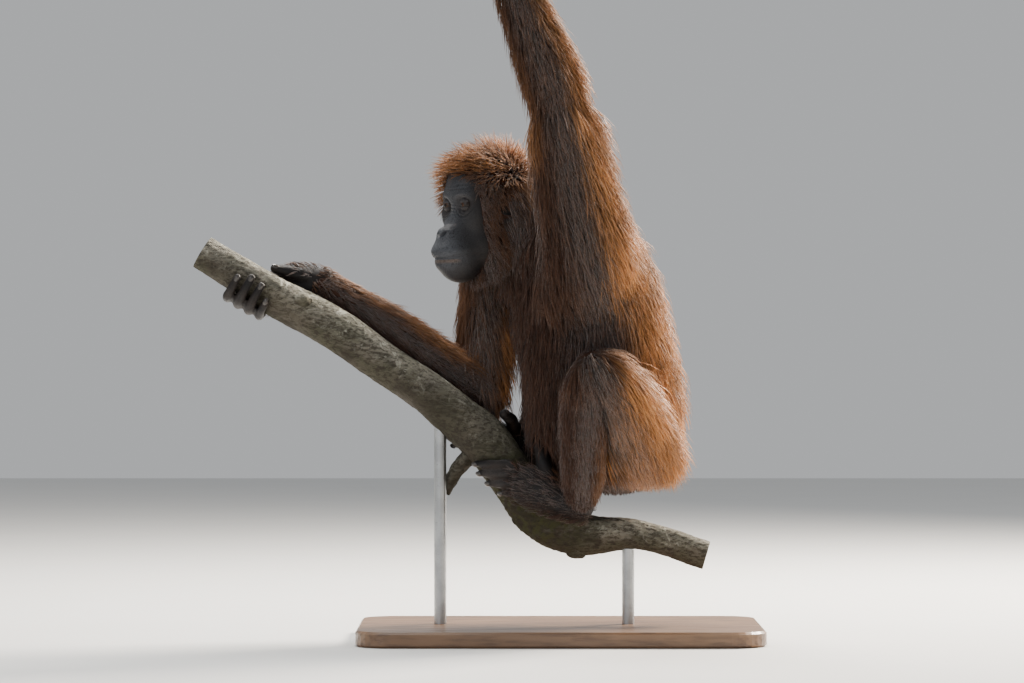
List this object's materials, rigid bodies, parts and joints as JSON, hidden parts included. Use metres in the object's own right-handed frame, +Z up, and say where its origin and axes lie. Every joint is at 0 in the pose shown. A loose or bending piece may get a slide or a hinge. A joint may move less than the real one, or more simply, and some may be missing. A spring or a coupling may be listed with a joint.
{
  "type": "orangutan model on a branch",
  "caption": "Still life-size orangutan sitting on a sloping cut branch, one arm raised to a second branch, on a flat base with rods.",
  "frame": {"origin": "middle of the underside of the stand's board", "axes": "+Z up, -X the way the animal's body faces, its left side towards -Y; the picture looks along +Y"},
  "size_m": [1.015, 0.4998, 1.3943],
  "materials": {
    "coat": "long shaggy hair, dark red-brown with orange ends",
    "skin": "bare dark grey-brown skin, satin",
    "eye": "polished dark brown",
    "bark": "rough grey-brown bark with lichen",
    "board": "satin varnish",
    "rod": "brushed"
  },
  "bodies": {
    "root": {"head": "skin", "ear_left": "skin", "ear_right": "skin", "eye_left": "eye", "eye_right": "eye", "neck": "coat", "torso": "coat", "upper_arm_left": "coat", "forearm_left": "coat", "hand_left": "skin", "upper_arm_right": "coat", "forearm_right": "coat", "hand_right": "skin", "thigh_left": "coat", "shin_left": "coat", "foot_left": "skin", "thigh_right": "coat", "shin_right": "coat", "foot_right": "skin", "perch_branch": "bark", "perch_upper": "bark", "stand_board": "board", "stand_rod_1": "rod", "stand_rod_2": "rod"}
  },
  "joints": []
}
